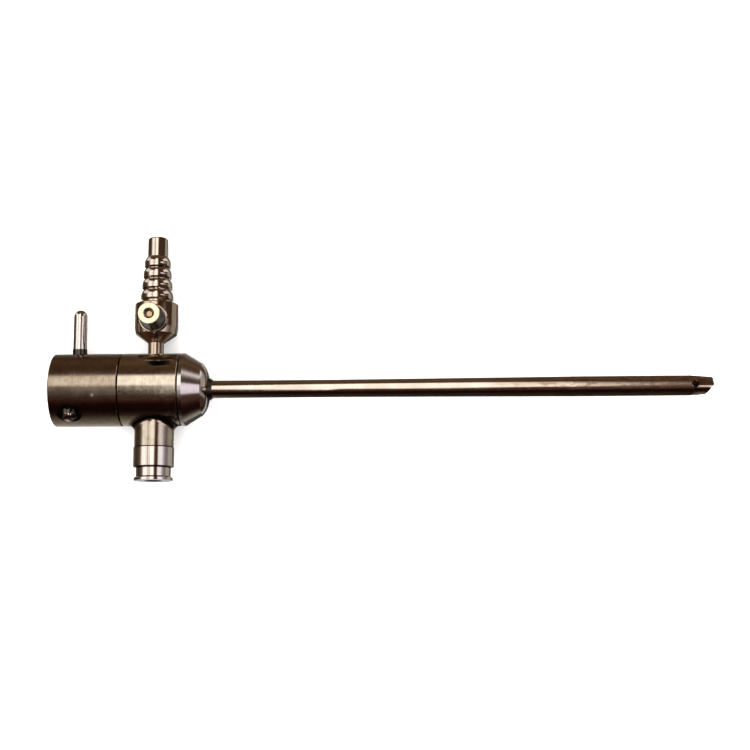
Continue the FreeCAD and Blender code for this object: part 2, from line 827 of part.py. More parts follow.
def blend_boss(body):
    """Rounds the corner between the boss and the sleeve."""
    names = []
    for index, edge in enumerate(body.Tip.Shape.Edges, start=1):
        points = edge.discretize(9)
        on_hub = all(abs(math.hypot(p.y, p.z) - size["hub_radius"].value) < CLOSE for p in points)
        spread = max(abs(p.x - size["port_station"].value) for p in points)
        if on_hub and abs(spread - size["boss_radius"].value) < CLOSE:
            names.append(f"Edge{index}")
    base = body.Tip
    fillet = body.newObject("PartDesign::Fillet", "manifold_sleeve_blend")
    fillet.Base = (base, names)
    fillet.setExpression("Radius", size["boss_fillet"].text)
    fillet.Radius = size["boss_fillet"].value
    finish_feature(body, fillet, base, True)


def line_sleeve(body):
    """Adds the two bearing lands, one on each side of the annular water channel."""
    bore = size["journal_radius"] + size["running_gap"]
    half = size["annulus_width"] / 2
    spans = {
        "rear_land": (sleeve_rear, size["port_station"] - half),
        "front_land": (size["port_station"] + half, sleeve_front),
    }
    for name, (rear, front) in spans.items():
        turned(body, name, ring_outline(bore, annulus_radius + size["root_overlap"], rear, front))


def drill_ports(body, lean):
    """The inlet hole for the stopcock's neck, and the stepped hole in the boss."""
    station = size["port_station"]
    neck = size["neck_radius"] + size["static_gap"]
    inside = annulus_radius - size["cut_past"]
    drilled(body, "neck_hole", neck, station, lean + 180, inside, size["hub_radius"] + size["cut_past"])
    spigot = size["connector_spigot_radius"] + size["static_gap"]
    top = boss_top
    floor = top - size["connector_spigot_length"] - size["static_gap"]
    gasket = size["gasket_radius"] + size["static_gap"]
    past = top + size["cut_past"]
    turned(body, "boss_bore", [
        (0, inside), (size["drain_radius"], inside),
        (size["drain_radius"], floor), (spigot, floor), (spigot, top - size["gasket_height"]),
        (gasket, top - size["gasket_height"]), (gasket, past), (0, past),
    ], cut=True, station=station, angle=lean, axis="V_Axis")


def port_connector():
    """The screwed connector on the boss: a collar, a neck and a small flange, bored through."""
    body = new_body("port_connector", port_placement(-1))
    bore = size["connector_bore_radius"]
    spigot = size["connector_spigot_radius"]
    seat = boss_top + size["static_gap"]
    collar_top = seat + size["collar_height"]
    flare = collar_top + size["connector_neck_height"]
    flange = flare + size["flare_height"]
    end = flange + size["flange_height"]
    chamfer = size["edge_break"]
    turned(body, "shell", [
        (seat - size["connector_spigot_length"], bore), (end, bore), (end, size["flange_radius"]),
        (flange, size["flange_radius"]), (flare, size["connector_neck_radius"]),
        (collar_top, size["connector_neck_radius"]), (collar_top, size["collar_radius"] - chamfer),
        (collar_top - chamfer, size["collar_radius"]), (seat, size["collar_radius"]), (seat, spigot),
        (seat - size["connector_spigot_length"], spigot),
    ])


def port_gasket():
    """The flat washer between the connector and the boss."""
    body = new_body("port_gasket", port_placement(-1))
    top = boss_top
    turned(body, "ring", ring_outline(
        size["connector_spigot_radius"] + size["static_gap"], size["gasket_radius"],
        top - size["gasket_height"], top))


def stopcock_body():
    """The stopcock's barrel on its slender neck, with the plug's seat across it."""
    body = new_body("stopcock_body", port_placement(1))
    top = barrel_top
    socket = size["barb_spigot_radius"] + size["static_gap"]
    foot = annulus_radius + size["root_overlap"]
    past = size["cut_past"]
    turned(body, "barrel", [
        (foot, 0), (foot, size["neck_radius"]), (neck_top, size["neck_radius"]),
        (shoulder_top, size["shoulder_radius"]), (barrel_start, barrel),
        (top - size["edge_break"], barrel), (top, barrel - size["edge_break"]), (top, 0),
    ])
    height = plug_height
    ring_top = ring_boss_top
    chamfer = size["edge_break"]
    turned(body, "ring_boss", [
        (0, 0), (size["ring_boss_radius"], 0), (size["ring_boss_radius"], ring_top - chamfer),
        (size["ring_boss_radius"] - chamfer, ring_top), (0, ring_top),
    ], station=height, axis="V_Axis")
    seat = size["plug_radius"] + size["running_gap"]
    counterbore = size["plug_flange_radius"] + size["running_gap"]
    turned(body, "plug_seat", [
        (0, -(barrel + past)), (size["nut_pocket_radius"], -(barrel + past)),
        (size["nut_pocket_radius"], -plug_seat), (seat, -plug_seat),
        (seat, plug_seat), (counterbore, plug_seat),
        (counterbore, ring_top + past), (0, ring_top + past),
    ], cut=True, station=height, axis="V_Axis")
    floor = top - size["barb_spigot_length"] - size["static_gap"]
    turned(body, "waterway", [
        (foot - past, 0), (foot - past, size["flow_radius"]), (floor, size["flow_radius"]),
        (floor, socket), (top + past, socket), (top + past, 0),
    ], cut=True)


def hose_barb():
    """The hose barb: a collar, four shrinking barbs and an open tube end."""
    body = new_body("hose_barb", port_placement(1))
    bore = size["barb_bore_radius"]
    top = barrel_top + size["static_gap"]
    foot = top - size["barb_spigot_length"]
    tip = barb_tip
    corners = [(foot, bore), (foot, size["barb_spigot_radius"]), (top, size["barb_spigot_radius"]),
               (top, size["barb_collar_radius"])]
    valley = size["barb_collar_radius"]
    for number in range(round(size["barb_count"].value)):
        start = barb_start + size["barb_pitch"] * number
        rim = size["barb_rim_radius"] - size["barb_rim_step"] * number
        corners.append((start - size["barb_undercut"] / 2, valley))
        corners.append((start + size["barb_undercut"] / 2, rim))
        rim_end = start + size["barb_undercut"] / 2 + size["barb_rim_width"]
        corners.append((rim_end, rim, size["barb_flank"]))
        valley = size["barb_valley_radius"] - size["barb_valley_step"] * number
    end = barb_start + size["barb_pitch"] * size["barb_count"].value
    chamfer = size["barb_tip_chamfer"]
    tube = size["barb_tube_radius"]
    corners += [(end - size["barb_undercut"] / 2, valley), (end, tube),
                (tip - chamfer, tube), (tip, tube - chamfer), (tip, bore)]
    turned(body, "shell", corners)


# Stopcock plug, drawn along X and turned to the plug's axis

def stopcock_plug():
    """The cross-bored plug with its flange, stem and threaded end."""
    body = new_body("stopcock_plug", plug_placement())
    flange = plug_seat + size["thrust_washer_thickness"] + size["static_gap"] * 2
    flange_top = flange + size["plug_flange_thickness"]
    plug = size["plug_radius"]
    back = plug_seat - size["edge_break"]
    stem = size["stem_radius"]
    shank = size["screw_shank_radius"] + size["static_gap"]
    hole_floor = stem_top - size["screw_shank_length"]
    turned(body, "plug", [
        (-stem_bottom, 0), (-stem_bottom, stem), (-back, stem), (-back, plug),
        (flange, plug), (flange, size["plug_flange_radius"]), (flange_top, size["plug_flange_radius"]),
        (flange_top, stem), (stem_top, stem), (stem_top, shank),
        (hole_floor, shank), (hole_floor, 0),
    ])
    flow_hole(body)


def flow_hole(body):
    """Bores the plug across its axis, in line with the open waterway."""
    reach = size["plug_radius"] + size["cut_past"]
    turned(body, "flow_hole", [
        (0, -reach), (size["flow_radius"], -reach), (size["flow_radius"], reach), (0, reach),
    ], cut=True, axis="V_Axis")


def plug_rings():
    """The thrust washer in front of the seat and the spring washer behind it."""
    front = plug_seat + size["static_gap"]
    body = new_body("thrust_washer", plug_placement())
    turned(body, "ring", ring_outline(
        size["plug_radius"] + size["static_gap"], size["plug_flange_radius"],
        front, front + size["thrust_washer_thickness"]))
    back = -(plug_seat + size["static_gap"])
    body = new_body("spring_washer", plug_placement())
    turned(body, "ring", ring_outline(
        size["stem_radius"] + size["static_gap"], size["spring_washer_radius"],
        back - size["thrust_washer_thickness"], back))


def plug_nut():
    """The six-sided nut that holds the plug in its seat from behind."""
    body = new_body("plug_nut", plug_placement())
    front = plug_seat + size["static_gap"] * 2 + size["thrust_washer_thickness"]
    reach = size["nut_across_flats"] / 2 / as_size(30).cosine()
    past = size["cut_past"]
    sketch = new_sketch(body, "outline", "YZ_Plane")
    corners = []
    for number in range(6):
        angle = math.radians(60 * number)
        corners.append((reach * round(math.cos(angle), 9), reach * round(math.sin(angle), 9)))
    draw_outline(sketch, corners)
    pad = body.newObject("PartDesign::Pad", "plug_nut_blank")
    pad.Profile = sketch
    pad.Reversed = True
    pad.setExpression("Length", (front + size["nut_height"]).text)
    finish_feature(body, pad, None, True)
    turned(body, "bore", ring_outline(
        as_size(0), size["stem_radius"] + size["static_gap"], -(front + size["nut_height"] + past), past),
        cut=True)
    turned(body, "seat_side", ring_outline(as_size(0), reach + past, -front, past), cut=True)


def plug_knob():
    """The turned knob, tapered to its face, with a deep hole for its screw."""
    body = new_body("plug_knob", plug_placement())
    base, top = knob_base, knob_top
    chamfer = size["edge_break"]
    stem = size["stem_radius"] + size["static_gap"]
    hole = size["knob_hole_radius"]
    step = stem_top + size["static_gap"]
    turned(body, "shell", [
        (base, stem), (step, stem), (step, hole), (top - chamfer, hole), (top, hole + chamfer),
        (top, size["knob_face_radius"] - chamfer / 2), (top - chamfer / 2, size["knob_face_radius"]),
        (base + chamfer, size["knob_base_radius"]), (base, size["knob_base_radius"] - chamfer),
    ])


def knob_screw():
    """The screw that holds the knob on the stem."""
    body = new_body("knob_screw", plug_placement())
    seat = stem_top + size["static_gap"]
    head = size["screw_head_radius"]
    shank = size["screw_shank_radius"]
    end = seat - size["screw_shank_length"] + size["edge_break"]
    turned(body, "screw", [
        (end, 0), (end, shank), (seat, shank), (seat, head),
        (seat + size["screw_head_height"] - size["edge_break"], head),
        (seat + size["screw_head_height"], head - size["edge_break"]),
        (seat + size["screw_head_height"], 0),
    ])


def export_pieces():
    """Checks every object and each sub-part's shape, then writes one file for each sub-part."""
    doc.recompute()
    for item in doc.Objects:
        if "Invalid" in item.State or "Error" in item.State:
            raise RuntimeError(f"{item.Name} failed: {item.State}")
    for piece in pieces:
        if piece.Shape.isNull() or not piece.Shape.isValid() or not piece.Shape.Solids:
            raise RuntimeError(f"{piece.Label} has no valid solid")
    os.makedirs("parts", exist_ok=True)
    for piece in pieces:
        piece.Shape.exportStep(f"parts/{piece.Label}.step")


coupling_housing()
rear_retainer()
lock_ring()
lever_pin()
ring_washer()
button_cup()
release_button()
button_spring()
core_spindle()
seals()
housing_dowel()
nose_cone()
tube_ferrule()
sheath_tube()
manifold_sleeve()
port_connector()
port_gasket()
stopcock_body()
hose_barb()
stopcock_plug()
plug_rings()
plug_nut()
plug_knob()
knob_screw()
export_pieces()
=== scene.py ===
"""Dresses the arthroscope sheath: a finish for every solid, a floor, a room of light and the camera."""
import json
import math

import bpy
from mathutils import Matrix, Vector


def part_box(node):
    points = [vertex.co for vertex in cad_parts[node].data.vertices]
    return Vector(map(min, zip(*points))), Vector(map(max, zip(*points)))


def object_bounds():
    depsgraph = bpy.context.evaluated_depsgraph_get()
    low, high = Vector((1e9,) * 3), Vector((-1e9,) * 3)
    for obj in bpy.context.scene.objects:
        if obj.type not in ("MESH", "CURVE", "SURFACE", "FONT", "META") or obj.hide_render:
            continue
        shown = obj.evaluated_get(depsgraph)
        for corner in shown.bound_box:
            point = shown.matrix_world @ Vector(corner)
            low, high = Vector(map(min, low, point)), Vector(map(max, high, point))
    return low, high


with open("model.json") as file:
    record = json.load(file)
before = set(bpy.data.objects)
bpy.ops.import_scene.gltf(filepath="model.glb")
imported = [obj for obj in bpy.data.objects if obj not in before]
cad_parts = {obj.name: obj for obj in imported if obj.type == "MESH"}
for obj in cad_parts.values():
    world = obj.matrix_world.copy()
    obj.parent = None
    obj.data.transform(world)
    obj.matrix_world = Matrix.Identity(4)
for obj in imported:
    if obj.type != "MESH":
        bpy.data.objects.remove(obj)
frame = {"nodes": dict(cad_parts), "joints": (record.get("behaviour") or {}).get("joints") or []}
cad_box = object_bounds()

MM = 0.001

# Places that the frame gives. The ports lean round the X axis, and the plug leans with them.
STOPCOCK_TURN = next(joint for joint in frame["joints"] if joint["name"] == "stopcock_turn")
PLUG_PLACE = Vector(STOPCOCK_TURN["pos_m"])
PLUG_AXIS = Vector(STOPCOCK_TURN["axis"])
PORT_STATION = PLUG_PLACE.x
PLUG_HEIGHT = PLUG_PLACE.yz.length
PORT_LEAN = math.atan2(PLUG_AXIS.y, PLUG_AXIS.z)
HUB_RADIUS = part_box("coupling_housing")[1].y
HOUSING_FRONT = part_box("coupling_housing")[1].x
SLEEVE_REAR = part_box("manifold_sleeve")[0].x
SLEEVE_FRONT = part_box("manifold_sleeve")[1].x
NOSE_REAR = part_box("nose_cone")[0].x

# Places along the leaning ports, from the tube's axis.
BOSS_END = -16.0 * MM
COLLAR_END = -21.45 * MM
FLANGE_START = -24.0 * MM

# The knob's face, along the plug's axis from the middle of the barrel.
KNOB_TOP = 12.4 * MM

UNTURNED = (0, 0, 0)
PORT_TURN = (PORT_LEAN, 0, 0)
ALONG_TUBE = (0, UNTURNED)
ALONG_PORT = (1, PORT_TURN)


class Nodes:
    """Adds shader nodes to one tree and joins them."""

    def __init__(self, tree):
        self.tree = tree
        tree.nodes.clear()

    def add(self, kind, settings=None, **inputs):
        node = self.tree.nodes.new(kind)
        for name, value in (settings or {}).items():
            setattr(node, name, value)
        for name, value in inputs.items():
            self.feed(node, name.replace("_", " "), value)
        return node

    def feed(self, node, name, value):
        socket = node.inputs[int(name)] if name.isdigit() else node.inputs[name]
        if isinstance(value, bpy.types.NodeSocket):
            self.tree.links.new(value, socket)
        else:
            socket.default_value = value

    def math(self, operation, first, second=0.0, clamp=False):
        node = self.add("ShaderNodeMath", {"operation": operation, "use_clamp": clamp})
        self.feed(node, "0", first)
        self.feed(node, "1", second)
        return node.outputs[0]

    def product(self, first, *others):
        for other in others:
            first = self.math("MULTIPLY", first, other)
        return first

    def blend(self, first, share, second):
        """One share of the first value and the rest of the second."""
        rest = self.math("MULTIPLY", second, 1.0 - share)
        return self.math("ADD", self.math("MULTIPLY", first, share), rest)

    def degrees(self, operation, *values):
        return self.math("MULTIPLY", self.math(operation, *values), 180 / math.pi)

    def between(self, value, low, high, bottom=0.0, top=1.0, smooth=False):
        """Goes from bottom to top while the value goes from low to high."""
        kind = "SMOOTHSTEP" if smooth else "LINEAR"
        node = self.add("ShaderNodeMapRange", {"interpolation_type": kind}, Value=value)
        self.feed(node, "From Min", low)
        self.feed(node, "From Max", high)
        self.feed(node, "To Min", bottom)
        self.feed(node, "To Max", top)
        return node.outputs[0]

    def band(self, value, rise, fall):
        """1 between two soft edges, each given by its start and end, and 0 outside them."""
        rising = self.between(value, *rise, smooth=True)
        falling = self.between(value, *fall, 1.0, 0.0, smooth=True)
        return self.product(rising, falling)

    def ramp(self, value, stops):
        node = self.add("ShaderNodeValToRGB", Fac=value)
        elements = node.color_ramp.elements
        while len(elements) < len(stops):
            elements.new(0.5)
        for element, (place, colour) in zip(elements, stops):
            element.position = place
            element.color = (*colour, 1)
        return node.outputs["Color"]

    def mix(self, factor, first, second):
        node = self.add("ShaderNodeMix", {"data_type": "RGBA"})
        self.feed(node, "0", factor)
        for number, colour in ((6, first), (7, second)):
            if isinstance(colour, tuple):
                colour = (*colour, 1)
            self.feed(node, str(number), colour)
        return node.outputs[2]

    def mapped(self, vector, **settings):
        """A vector after a mapping with a Location, a Rotation or a Scale."""
        return self.add("ShaderNodeMapping", {"vector_type": "POINT"}, Vector=vector, **settings).outputs[0]

    def coordinates(self, scale=(1, 1, 1), turn=UNTURNED):
        """Object coordinates in metres, turned and stretched for a pattern."""
        place = self.add("ShaderNodeTexCoord").outputs["Object"]
        return self.mapped(self.mapped(place, Rotation=turn), Scale=scale)

    def parts(self, vector):
        return self.add("ShaderNodeSeparateXYZ", Vector=vector).outputs

    def reach(self, vector, directions):
        """How far a place is from the origin, counting only the directions with a 1."""
        flat = self.mapped(vector, Scale=directions)
        return self.add("ShaderNodeVectorMath", {"operation": "LENGTH"}, Vector=flat).outputs["Value"]

    def noise(self, vector, scale=1.0, detail=3.0, roughness=0.55):
        node = self.add("ShaderNodeTexNoise", Vector=vector, Scale=scale, Detail=detail, Roughness=roughness)
        return node.outputs["Fac"]


def new_material(name, metallic=0.0):
    material = bpy.data.materials.new(name)
    material.use_nodes = True
    nodes = Nodes(material.node_tree)
    shader = nodes.add("ShaderNodeBsdfPrincipled")
    shader.inputs["Metallic"].default_value = metallic
    nodes.add("ShaderNodeOutputMaterial", Surface=shader.outputs[0])
    return material, nodes, shader


def add_relief(nodes, shader, height, strength, depth):
    """Fine bumps that catch the light."""
    bump = nodes.add("ShaderNodeBump", Height=height, Strength=strength, Distance=depth)
    nodes.feed(shader, "Normal", bump.outputs[0])


# Most of a noise lies between these two values.
MIDDLE = (0.3, 0.7)

HAIR_STRETCH = (420, 1600, 900)
HAIR_TURN = (0.4, 0.2, 0.7)
HAIR_EDGE = (0.66, 0.72)
HAIR_GREY = (0.86, 0.84, 0.8)
HAIR_TINT = 0.125
HAIR_ROUGHNESS = 0.06
HAIR_DEPTH = -0.15
GROOVE_DEPTH = 0.04 * MM


def steel(name, dark, light, sheen, lines, turn=UNTURNED, bump=0.12, patches=90.0, dull_from=None,
          joints=(), root=False):
    """Turned or drawn steel: fine lines, soft colour patches, wiped smudges and sparse scratches."""
    material, nodes, shader = new_material(name, metallic=1.0)
    fine, along = lines
    grooves = nodes.noise(nodes.coordinates(fine, turn), detail=4.0, roughness=0.6)
    wipes = nodes.noise(nodes.coordinates(along, turn), roughness=0.5)
    cloud = nodes.noise(nodes.coordinates(turn=turn), patches)
    hairs = nodes.noise(nodes.coordinates(HAIR_STRETCH, HAIR_TURN), detail=2.0)
    hair = nodes.between(hairs, *HAIR_EDGE, smooth=True)
    tone = nodes.between(nodes.blend(grooves, 0.45, cloud), *MIDDLE)
    colour = nodes.ramp(tone, [(0.0, dark), (1.0, light)])
    colour = nodes.mix(nodes.product(hair, HAIR_TINT), colour, HAIR_GREY)
    rough = nodes.between(nodes.blend(wipes, 0.6, grooves), *MIDDLE, *sheen)
    rough = nodes.math("ADD", rough, nodes.product(hair, HAIR_ROUGHNESS), clamp=True)
    if dull_from is not None:
        colour, rough = dull_end(nodes, colour, rough, dull_from)
    # Painted shade along the joints between parts.
    colour = dark_joints(nodes, colour, joints)
    # Painted shade in the hollow under the lower boss.
    if root:
        colour = shaded_root(nodes, colour)
    nodes.feed(shader, "Base Color", colour)
    nodes.feed(shader, "Roughness", rough)
    height = nodes.math("ADD", grooves, nodes.product(hair, HAIR_DEPTH))
    add_relief(nodes, shader, height, bump, GROOVE_DEPTH)
    return material


DULL_LENGTH = 30 * MM
BLOTCH_STRETCH = (320, 900, 900)
BLOTCH_EDGE = (0.42, 0.62)
BLOTCH_BROWN = (0.32, 0.21, 0.15)
BLOTCH_TINT = 0.75
BLOTCH_ROUGHNESS = 0.07


def dull_end(nodes, colour, rough, start):
    """Past a distance along X the steel turns blotchy and duller, from handling."""
    far = nodes.between(nodes.parts(nodes.coordinates())[0], start, start + DULL_LENGTH, smooth=True)
    blotch = nodes.noise(nodes.coordinates(BLOTCH_STRETCH), detail=4.0, roughness=0.65)
    amount = nodes.product(far, nodes.between(blotch, *BLOTCH_EDGE, smooth=True))
    tinted = nodes.mix(nodes.product(amount, BLOTCH_TINT), colour, BLOTCH_BROWN)
    return tinted, nodes.math("ADD", rough, nodes.product(amount, BLOTCH_ROUGHNESS), clamp=True)


# Painted shade for the joints: the dark gaps between parts are painted into the colour.
SEAM_SHADE = (0.02, 0.013, 0.009)
SEAM_SHADE_SHARE = 0.94


def dark_joints(nodes, colour, joints):
    """Paints shade into the steel along each joint between parts: (direction, place, half width) of each
    joint.
    """
    for (axis, turn), place, half_width in joints:
        along = nodes.parts(nodes.coordinates(turn=turn))[axis]
        off = nodes.math("ABSOLUTE", nodes.math("SUBTRACT", along, place))
        shade = nodes.between(off, half_width / 2, half_width, SEAM_SHADE_SHARE, 0.0, smooth=True)
        colour = nodes.mix(shade, colour, SEAM_SHADE)
    return colour


# Painted shade in the fillet where the lower boss meets the sleeve.
ROOT_INNER_EDGE = (5.32 * MM, 5.6 * MM)
ROOT_OUTER_EDGE = (6.5 * MM, 7.4 * MM)
ROOT_HEIGHTS = (-8.0 * MM, -7.0 * MM)
ROOT_SHADE_BROWN = (0.03, 0.02, 0.016)
ROOT_SHARE = 0.85


def shaded_root(nodes, colour):
    """Paints shade into the hollow where the lower boss grows out of the sleeve."""
    centred = nodes.mapped(nodes.coordinates(turn=PORT_TURN), Location=(-PORT_STATION, 0.0, 0.0))
    ring = nodes.band(nodes.reach(centred, (1, 0, 1)), ROOT_INNER_EDGE, ROOT_OUTER_EDGE)
    below = nodes.between(nodes.parts(centred)[1], *ROOT_HEIGHTS, 1.0, 0.0)
    return nodes.mix(nodes.product(ring, below, ROOT_SHARE), colour, ROOT_SHADE_BROWN)


PIN_STRETCH = (500, 500, 9000)
PIN_DARK = (0.62, 0.57, 0.54)
PIN_LIGHT = (0.8, 0.77, 0.75)
PIN_SHEEN = (0.04, 0.1)
# Painted shadow of the slot on the pin's foot, near-black.
FOOT_SHADOW_EDGE = (HUB_RADIUS + 1.3 * MM, HUB_RADIUS + 1.55 * MM)
FOOT_SHADOW = (0.025, 0.017, 0.012)
FOOT_SHADOW_SHARE = 0.93


def lever_steel():
    """Polished steel with a painted shadow on its foot, where the pin enters its slot."""
    material, nodes, shader = new_material("pin_polished_steel", metallic=1.0)
    grooves = nodes.noise(nodes.coordinates(PIN_STRETCH), detail=4.0)
    smudges = nodes.noise(nodes.coordinates(), 700.0)
    polished = nodes.ramp(nodes.between(grooves, *MIDDLE), [(0.0, PIN_DARK), (1.0, PIN_LIGHT)])
    reach = nodes.reach(nodes.coordinates(), (0, 1, 1))
    # The foot takes the painted shadow of its slot.
    foot = nodes.between(reach, *FOOT_SHADOW_EDGE, FOOT_SHADOW_SHARE, 0.0, smooth=True)
    nodes.feed(shader, "Base Color", nodes.mix(foot, polished, FOOT_SHADOW))
    nodes.feed(shader, "Roughness", nodes.between(smudges, *MIDDLE, *PIN_SHEEN))
    add_relief(nodes, shader, grooves, 0.05, GROOVE_DEPTH)
    return material


RINGS_PER_METRE = 26000.0
KNOB_GOLDS = [(0.35, (0.72, 0.57, 0.38)), (0.65, (0.9, 0.8, 0.64))]
KNOB_SHEEN = (0.2, 0.28)
# Painted shade on the knob's side: the same steel as the face, painted near-black.
KNOB_SIDE_EDGE = (KNOB_TOP - 0.5 * MM, KNOB_TOP - 0.2 * MM)
KNOB_SIDE_SHADE = (0.024, 0.017, 0.012)
KNOB_SIDE_SHADE_SHARE = 0.96


def knob_steel():
    """A gilt turned knob: its face is turned in rings, and its side is painted near-black as painted shade.
    """
    material, nodes, shader = new_material("knob_gilt_steel", metallic=1.0)
    turned = nodes.coordinates(turn=PORT_TURN)
    centred = nodes.mapped(turned, Location=(-PORT_STATION, -PLUG_HEIGHT, 0.0))
    reach = nodes.reach(centred, (1, 1, 0))
    height = nodes.parts(centred)[2]
    rings = nodes.add("ShaderNodeCombineXYZ", X=nodes.product(reach, RINGS_PER_METRE),
                      Y=nodes.product(height, RINGS_PER_METRE))
    grooves = nodes.noise(rings.outputs[0])
    cloud = nodes.noise(turned, 900.0)
    gold = nodes.ramp(nodes.blend(grooves, 0.5, cloud), KNOB_GOLDS)
    # The side below the face takes the painted shade.
    side = nodes.between(height, *KNOB_SIDE_EDGE, KNOB_SIDE_SHADE_SHARE, 0.0, smooth=True)
    nodes.feed(shader, "Base Color", nodes.mix(side, gold, KNOB_SIDE_SHADE))
    nodes.feed(shader, "Roughness", nodes.between(cloud, *MIDDLE, *KNOB_SHEEN))
    add_relief(nodes, shader, grooves, 0.06, 0.02 * MM)
    return material


def rubber(name, dark, light):
    """Moulded black rubber with a dusty bloom."""
    material, nodes, shader = new_material(name)
    place = nodes.coordinates()
    bloom = nodes.noise(place, 900.0, 4.0)
    nodes.feed(shader, "Base Color", nodes.ramp(bloom, [(0.35, dark), (0.7, light)]))
    nodes.feed(shader, "Roughness", nodes.between(bloom, *MIDDLE, 0.5, 0.75))
    add_relief(nodes, shader, nodes.noise(place, 6000.0), 0.2, 0.03 * MM)
    shader.inputs["Sheen Weight"].default_value = 0.2
    return material


def plastic(name, dark, light):
    """Machined bearing plastic, faintly mottled."""
    material, nodes, shader = new_material(name)
    place = nodes.coordinates()
    mottle = nodes.noise(place, 500.0, 4.0)
    nodes.feed(shader, "Base Color", nodes.ramp(mottle, [(0.3, dark), (0.75, light)]))
    nodes.feed(shader, "Roughness", nodes.between(mottle, *MIDDLE, 0.38, 0.55))
    add_relief(nodes, shader, nodes.noise(place, 9000.0), 0.15, 0.02 * MM)
    return material


# Lines left by a tool, as the stretch of the fine grooves and of the wiped smudges along them.
TURNED_X = ((9000, 120, 120), (260, 60, 60))
DRAWN_X = ((70, 5200, 5200), (30, 420, 420))
TURNED_PORT = ((120, 9000, 120), (60, 260, 60))
TURNED_PLUG = ((120, 120, 9000), (60, 60, 260))

DULL_START = 115 * MM

HOUSING_JOINTS = [(ALONG_TUBE, HOUSING_FRONT, 0.2 * MM)]
SLEEVE_JOINTS = [
    (ALONG_TUBE, SLEEVE_REAR, 0.14 * MM),
    (ALONG_TUBE, SLEEVE_FRONT, 0.14 * MM),
    (ALONG_PORT, BOSS_END, 0.28 * MM),
]
NOSE_JOINTS = [(ALONG_TUBE, NOSE_REAR, 0.2 * MM)]
CONNECTOR_JOINTS = [
    (ALONG_PORT, BOSS_END, 0.2 * MM),
    (ALONG_PORT, COLLAR_END, 0.28 * MM),
    (ALONG_PORT, FLANGE_START, 0.14 * MM),
]


def make_finishes():
    """One finish for each kind of surface on the sheath."""
    return {
        "housing_steel": steel("housing_satin_steel", (0.27, 0.21, 0.165), (0.45, 0.37, 0.3),
                               (0.14, 0.22), TURNED_X, bump=0.22, patches=620.0, joints=HOUSING_JOINTS),
        "sleeve_steel": steel("sleeve_satin_steel", (0.4, 0.33, 0.27), (0.64, 0.58, 0.49),
                              (0.1, 0.16), TURNED_X, bump=0.16, patches=520.0, joints=SLEEVE_JOINTS,
                              root=True),
        "nose_steel": steel("nose_satin_steel", (0.56, 0.5, 0.49), (0.72, 0.67, 0.67),
                            (0.11, 0.18), TURNED_X, bump=0.15, patches=260.0, joints=NOSE_JOINTS),
        "tube_steel": steel("tube_drawn_steel", (0.5, 0.42, 0.35), (0.72, 0.65, 0.58),
                            (0.08, 0.15), DRAWN_X, bump=0.1, patches=160.0, dull_from=DULL_START),
        # The ferrule is painted near-black: painted shade for the dark band round the tube's root.
        "ferrule_steel": steel("ferrule_painted_shade_steel", (0.05, 0.033, 0.027), (0.13, 0.1, 0.085),
                               (0.28, 0.42), TURNED_X, bump=0.3, patches=300.0),
        "pin_steel": lever_steel(),
        "barrel_steel": steel("stopcock_warm_steel", (0.44, 0.34, 0.27), (0.66, 0.55, 0.46),
                              (0.06, 0.12), TURNED_PORT, PORT_TURN, bump=0.07),
        "barb_steel": steel("barb_turned_steel", (0.56, 0.48, 0.42), (0.76, 0.7, 0.64),
                            (0.05, 0.1), TURNED_PORT, PORT_TURN, bump=0.06),
        "connector_steel": steel("connector_turned_steel", (0.58, 0.51, 0.46), (0.78, 0.73, 0.7),
                                 (0.05, 0.1), TURNED_PORT, PORT_TURN, bump=0.06, joints=CONNECTOR_JOINTS),
        "knob_steel": knob_steel(),
        "screw_steel": steel("screw_bright_brass", (0.4, 0.27, 0.13), (0.6, 0.43, 0.25),
                             (0.18, 0.28), TURNED_PLUG, PORT_TURN, bump=0.2),
        # The cup is painted near-black: painted shade of the recess round the button.
        "cup_steel": steel("cup_painted_shade_steel", (0.03, 0.022, 0.018), (0.09, 0.07, 0.058),
                           (0.25, 0.4), TURNED_X, bump=0.2),
        "inner_steel": steel("inner_machined_steel", (0.4, 0.36, 0.33), (0.56, 0.52, 0.49),
                             (0.24, 0.36), TURNED_X, bump=0.25),
        "spring_steel": steel("spring_blued_steel", (0.3, 0.29, 0.31), (0.48, 0.47, 0.48),
                              (0.22, 0.34), TURNED_X, bump=0.2, patches=400.0),
        "seal_rubber": rubber("seal_black_rubber", (0.012, 0.012, 0.013), (0.035, 0.034, 0.034)),
        "washer_plastic": plastic("washer_ivory_plastic", (0.62, 0.55, 0.42), (0.78, 0.72, 0.6)),
    }


FINISH_OF = {
    "housing_steel": ["coupling_housing"],
    "sleeve_steel": ["manifold_sleeve"],
    "nose_steel": ["nose_cone"],
    "tube_steel": ["sheath_tube"],
    "ferrule_steel": ["tube_ferrule"],
    "pin_steel": ["lever_pin", "release_button"],
    "barrel_steel": ["stopcock_body"],
    "barb_steel": ["hose_barb"],
    "connector_steel": ["port_connector"],
    "knob_steel": ["plug_knob"],
    "screw_steel": ["knob_screw"],
    "inner_steel": ["rear_retainer", "lock_ring", "core_spindle", "housing_dowel",
                    "stopcock_plug", "plug_nut"],
    "cup_steel": ["button_cup"],
    "spring_steel": ["button_spring", "ring_washer", "spring_washer"],
    "seal_rubber": ["telescope_seal", "swivel_seal_rear", "swivel_seal_front"],
    "washer_plastic": ["port_gasket", "thrust_washer"],
}


def dress_nodes(finishes):
    """Gives every solid of the frame its finish."""
    for finish, names in FINISH_OF.items():
        for name in names:
            for slot in frame["nodes"][name].material_slots:
                slot.material = finishes[finish]


FLOOR_SIZE = 4
STAGE_X = 0.09
FLOOR_GREYS = [(0.3, (0.93, 0.93, 0.93)), (0.8, (0.96, 0.96, 0.96))]


